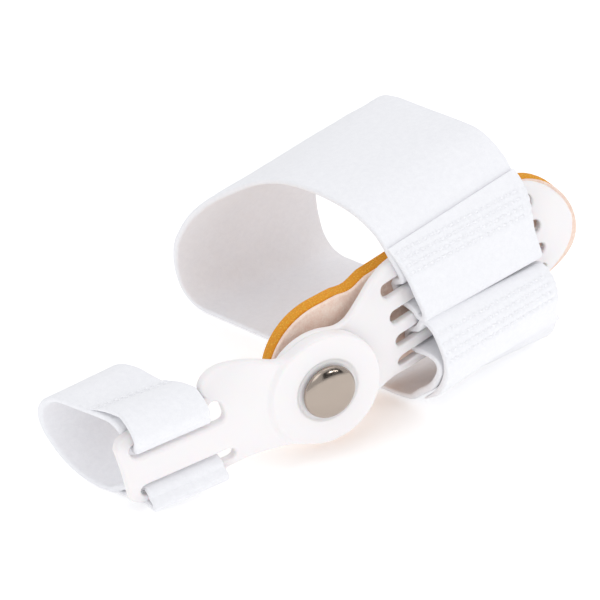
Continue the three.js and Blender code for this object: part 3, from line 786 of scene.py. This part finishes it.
def nickelLook():
    material, tree, shader, place = startLook("nickel", {
        "Base Color": (0.42, 0.355, 0.305, 1), "Metallic": 1.0})
    grain = nodeOf(tree, "ShaderNodeTexNoise", in_Scale=500.0, in_Detail=4.0)
    tree.links.new(place, grain.inputs["Vector"])
    tree.links.new(stretched(tree, grain.outputs["Fac"], 0.3, 0.7, 0.14, 0.24), shader.inputs["Roughness"])
    return material


def foamLook(pores):
    material, tree, shader, place = startLook("orange_foam", {
        "Roughness": 0.9, "Subsurface Weight": 0.2, "Subsurface Scale": 0.002})
    group = nodeOf(tree, "ShaderNodeGroup", node_tree=pores)
    tree.links.new(place, group.inputs["Vector"])
    # Painted shade: the orange is darker where the pore mask is deep, standing in for shade inside the open
    # cells
    poreShadedColour = mixed(tree, group.outputs["Mask"], (0.93, 0.47, 0.045), (0.74, 0.3, 0.016))
    tree.links.new(poreShadedColour, shader.inputs["Base Color"])
    tree.links.new(group.outputs["Normal"], shader.inputs["Normal"])
    return material


nap, pores = napGroup(), poreGroup()
looks = {
    "plastic": plasticLook(),
    "nickel": nickelLook(),
    "foam": foamLook(pores),
    "velour": napLook("beige_velour", nap, low=(0.85, 0.61, 0.5), high=(0.95, 0.8, 0.7),
                      fibre=2400.0, clump=520.0, strength=0.5, values={
                          "Roughness": 0.95, "Sheen Weight": 0.35, "Sheen Roughness": 0.4,
                          "Sheen Tint": (1, 0.93, 0.9, 1)}),
    "cloth": napLook("white_cloth", nap, low=(0.845, 0.845, 0.875), high=(0.895, 0.895, 0.92),
                     fibre=3000.0, clump=700.0, strength=0.3, values={
                         "Roughness": 0.92, "Sheen Weight": 0.25, "Sheen Roughness": 0.45}),
    "thread": napLook("white_thread", nap, low=(0.88, 0.88, 0.91), high=(0.95, 0.95, 0.97),
                      fibre=5200.0, clump=1400.0, strength=0.3, values={
                          "Roughness": 0.6, "Sheen Weight": 0.1}),
}
print("bunion corrector: looks made")

# Pieces
discReach = hinge["discDiameter"] / 2 + hinge["discEdge"] + 1
armOutline = joinDisc(outlineFromRows(armRows, arm["length"], arm["neckHeight"], 0), (0, 0),
                      hinge["discDiameter"] / 2)
slotInner = -arm["length"] + arm["slotEndMargin"] + toeStrap["width"] + arm["slotInward"]
slotOuter = -arm["length"] + arm["slotEndMargin"] - arm["slotOutward"]
bore = hinge["shankDiameter"] / 2 + hinge["gap"]
armLoops = [armOutline, circle(bore), slotOutline(slotOuter, slotInner, -toeSlotCentre),
            slotOutline(slotOuter, slotInner, toeSlotCentre, arm["slotLift"])]
armMoulding = addObject("arm_moulding", sheetPiece(
    "arm_moulding", armLoops, arm["thickness"], arm["edgeRadius"], armFace, discRelief,
    steps(-arm["length"], -discReach, cuts["arm"]) + steps(-discReach, discReach, cuts["disc"])[1:],
    steps(-discReach, discReach, cuts["disc"])),
    "arm", "white_plastic", "toe_arm")
armMoulding.data.materials.append(looks["plastic"])

plateOutline = joinDisc(outlineFromRows(plateRows, plate["length"], plate["height"], plate["centre"]),
                        (0, 0), hinge["discDiameter"] / 2 - plate["lugInset"])
slotEnd = plate["slotStart"] + footStrap["width"] + plate["slotEndMargin"]
plateLoops = [plateOutline, circle(bore)]
plateLoops += [slotOutline(plate["slotStart"], slotEnd, height) for height in slotHeights]
plateMoulding = addObject("plate_moulding", sheetPiece(
    "plate_moulding", plateLoops, plate["thickness"], plate["edgeRadius"], plateFace, noRelief,
    steps(cuts["plateFront"], plate["length"], cuts["plate"]), steps(*cuts["plateHeights"], cuts["plate"])),
    "plate", "white_plastic", "foot_plate")
plateMoulding.data.materials.append(looks["plastic"])
print("bunion corrector: plastic halves made")

outline = padOutline()
coverDepth = (plate["thickness"] + 2 * (hinge["gap"] + strap["ease"]) + strap["thickness"] + hinge["gap"])
foamDepth = coverDepth + pad["coverThickness"] + hinge["gap"]
layers = {}
for name, node, slot, look, depth, thickness, radius in (
        ("velour_cover", "pad_cover", "velour", "velour", coverDepth, pad["coverThickness"],
         pad["coverEdge"]),
        ("foam_layer", "pad_foam", "foam", "foam", foamDepth, pad["foamThickness"], pad["foamEdge"])):
    layers[name] = addObject(name, sheetPiece(
        name, [outline], thickness, radius, lambda x, z: plateFace(x, z) + depth, noRelief,
        steps(*cuts["padAlong"], cuts["pad"]), steps(*cuts["padHeights"], cuts["pad"])), "plate", slot, node)
    layers[name].data.materials.append(looks[look])

rivetShape = lathe(rivetProfile())
rivetShape.transform(splintFrame)
rivetMesh = bpy.data.meshes.new("rivet")
rivetShape.to_mesh(rivetMesh)
rivetShape.free()
rivet = addObject("rivet", rivetMesh, "plate", "nickel", "hinge_rivet")
rivetMesh.shade_smooth()
rivetMesh.materials.append(looks["nickel"])
print("bunion corrector: pad and rivet made")

toeRibbon, footRibbon = makeToeRibbon(), makeFootRibbon()
toeBandPiece = addObject("toe_band", ribbonMesh("toe_band", toeRibbon), "arm", "strap_cloth", "toe_strap")
footBandPiece = addObject("foot_band", ribbonMesh("foot_band", footRibbon), "plate", "strap_cloth",
                          "foot_strap")
toeStitches = addObject("toe_stitches", stitchMesh("toe_stitches", toeRibbon), "arm", "strap_cloth")
footStitches = addObject("foot_stitches", stitchMesh("foot_stitches", footRibbon), "plate", "strap_cloth")
for piece, look in ((toeBandPiece, "cloth"), (footBandPiece, "cloth"), (toeStitches, "thread"),
                    (footStitches, "thread")):
    piece.data.materials.append(looks[look])
print("bunion corrector: straps made,", round(toeRibbon.length, 1), "and",
      round(footRibbon.length, 1), "mm long")

# Floor, light and camera
floorMesh = bpy.data.meshes.new("floor")
reach, floorDrop = 3.0, 0.0003
floorMesh.from_pydata([(-reach, -reach, -floorDrop), (reach, -reach, -floorDrop), (reach, reach, -floorDrop),
                       (-reach, reach, -floorDrop)], [], [(0, 1, 2, 3)])
floor = bpy.data.objects.new("floor", floorMesh)
bpy.context.scene.collection.objects.link(floor)
floorLook, floorTree, floorShader, floorPlace = startLook("pale_floor", {
    "Roughness": 0.9, "Emission Color": (1, 1, 1, 1), "Emission Strength": 0.28})
floorNoise = nodeOf(floorTree, "ShaderNodeTexNoise", in_Scale=3.0)
floorTree.links.new(floorPlace, floorNoise.inputs["Vector"])
floorTree.links.new(mixed(floorTree, floorNoise.outputs["Fac"], (0.93, 0.93, 0.93), (0.94, 0.94, 0.94)),
                    floorShader.inputs["Base Color"])
floorMesh.materials.append(floorLook)

scene = bpy.context.scene
scene.view_settings.view_transform = "Standard"
world = bpy.data.worlds.new("studio")
world.use_nodes = True
world.node_tree.nodes["Background"].inputs["Color"].default_value = (0.975, 0.985, 1, 1)
world.node_tree.nodes["Background"].inputs["Strength"].default_value = 0.75
scene.world = world

lights = [
    {"name": "key", "place": (-0.55, -0.6, 0.9), "size": 0.7, "watts": 1.8},
    {"name": "top", "place": (0.25, 0.15, 1.1), "size": 0.9, "watts": 2.3},
    {"name": "side", "place": (0.36, -0.78, 0.42), "size": 0.1, "watts": 0.5},
    {"name": "second", "place": (0.52, -0.68, 0.34), "size": 0.07, "watts": 0.25},
]
flag = {"place": (0.5, -0.92, 0.46), "width": 1.1, "height": 0.8}
for row in lights:
    data = bpy.data.lights.new(row["name"], "AREA")
    data.shape = "SQUARE"
    data.size = row["size"]
    data.energy = row["watts"]
    lamp = bpy.data.objects.new(row["name"], data)
    lamp.location = row["place"]
    lamp.rotation_euler = (Vector((0, 0, 0.03)) - lamp.location).to_track_quat("-Z", "Y").to_euler()
    scene.collection.objects.link(lamp)

# A dark card that only the polished rivet mirrors, as the dark studio behind the lamps
flagMesh = bpy.data.meshes.new("flag")
halfWidth, halfHeight = flag["width"] / 2, flag["height"] / 2
flagMesh.from_pydata([(-halfWidth, -halfHeight, 0), (halfWidth, -halfHeight, 0), (halfWidth, halfHeight, 0),
                      (-halfWidth, halfHeight, 0)], [], [(0, 1, 2, 3)])
card = bpy.data.objects.new("flag", flagMesh)
card.location = flag["place"]
card.rotation_euler = (Vector((0, 0, 0.03)) - card.location).to_track_quat("Z", "Y").to_euler()
card.visible_camera = False
card.visible_diffuse = False
card.visible_shadow = False
scene.collection.objects.link(card)
cardLook = startLook("dark_card", {"Base Color": (0.01, 0.01, 0.011, 1), "Roughness": 1.0})[0]
flagMesh.materials.append(cardLook)

view = {"right": (0.88574, -0.45754, -0.07820), "up": (0.26004, 0.34957, 0.90010),
        "back": (-0.38450, -0.81759, 0.42860), "place": (-0.39812, -0.86613, 0.47477), "lens": 223.2}
camera = bpy.data.objects.new("camera", bpy.data.cameras.new("camera"))
camera.matrix_world = (Matrix.Translation(view["place"])
                       @ Matrix([view["right"], view["up"], view["back"]]).transposed().to_4x4())
camera.data.lens = view["lens"]
camera.data.sensor_width = 36.0
camera.data.clip_start = 0.01
scene.collection.objects.link(camera)
scene.camera = camera

print("bunion corrector: scene ready")
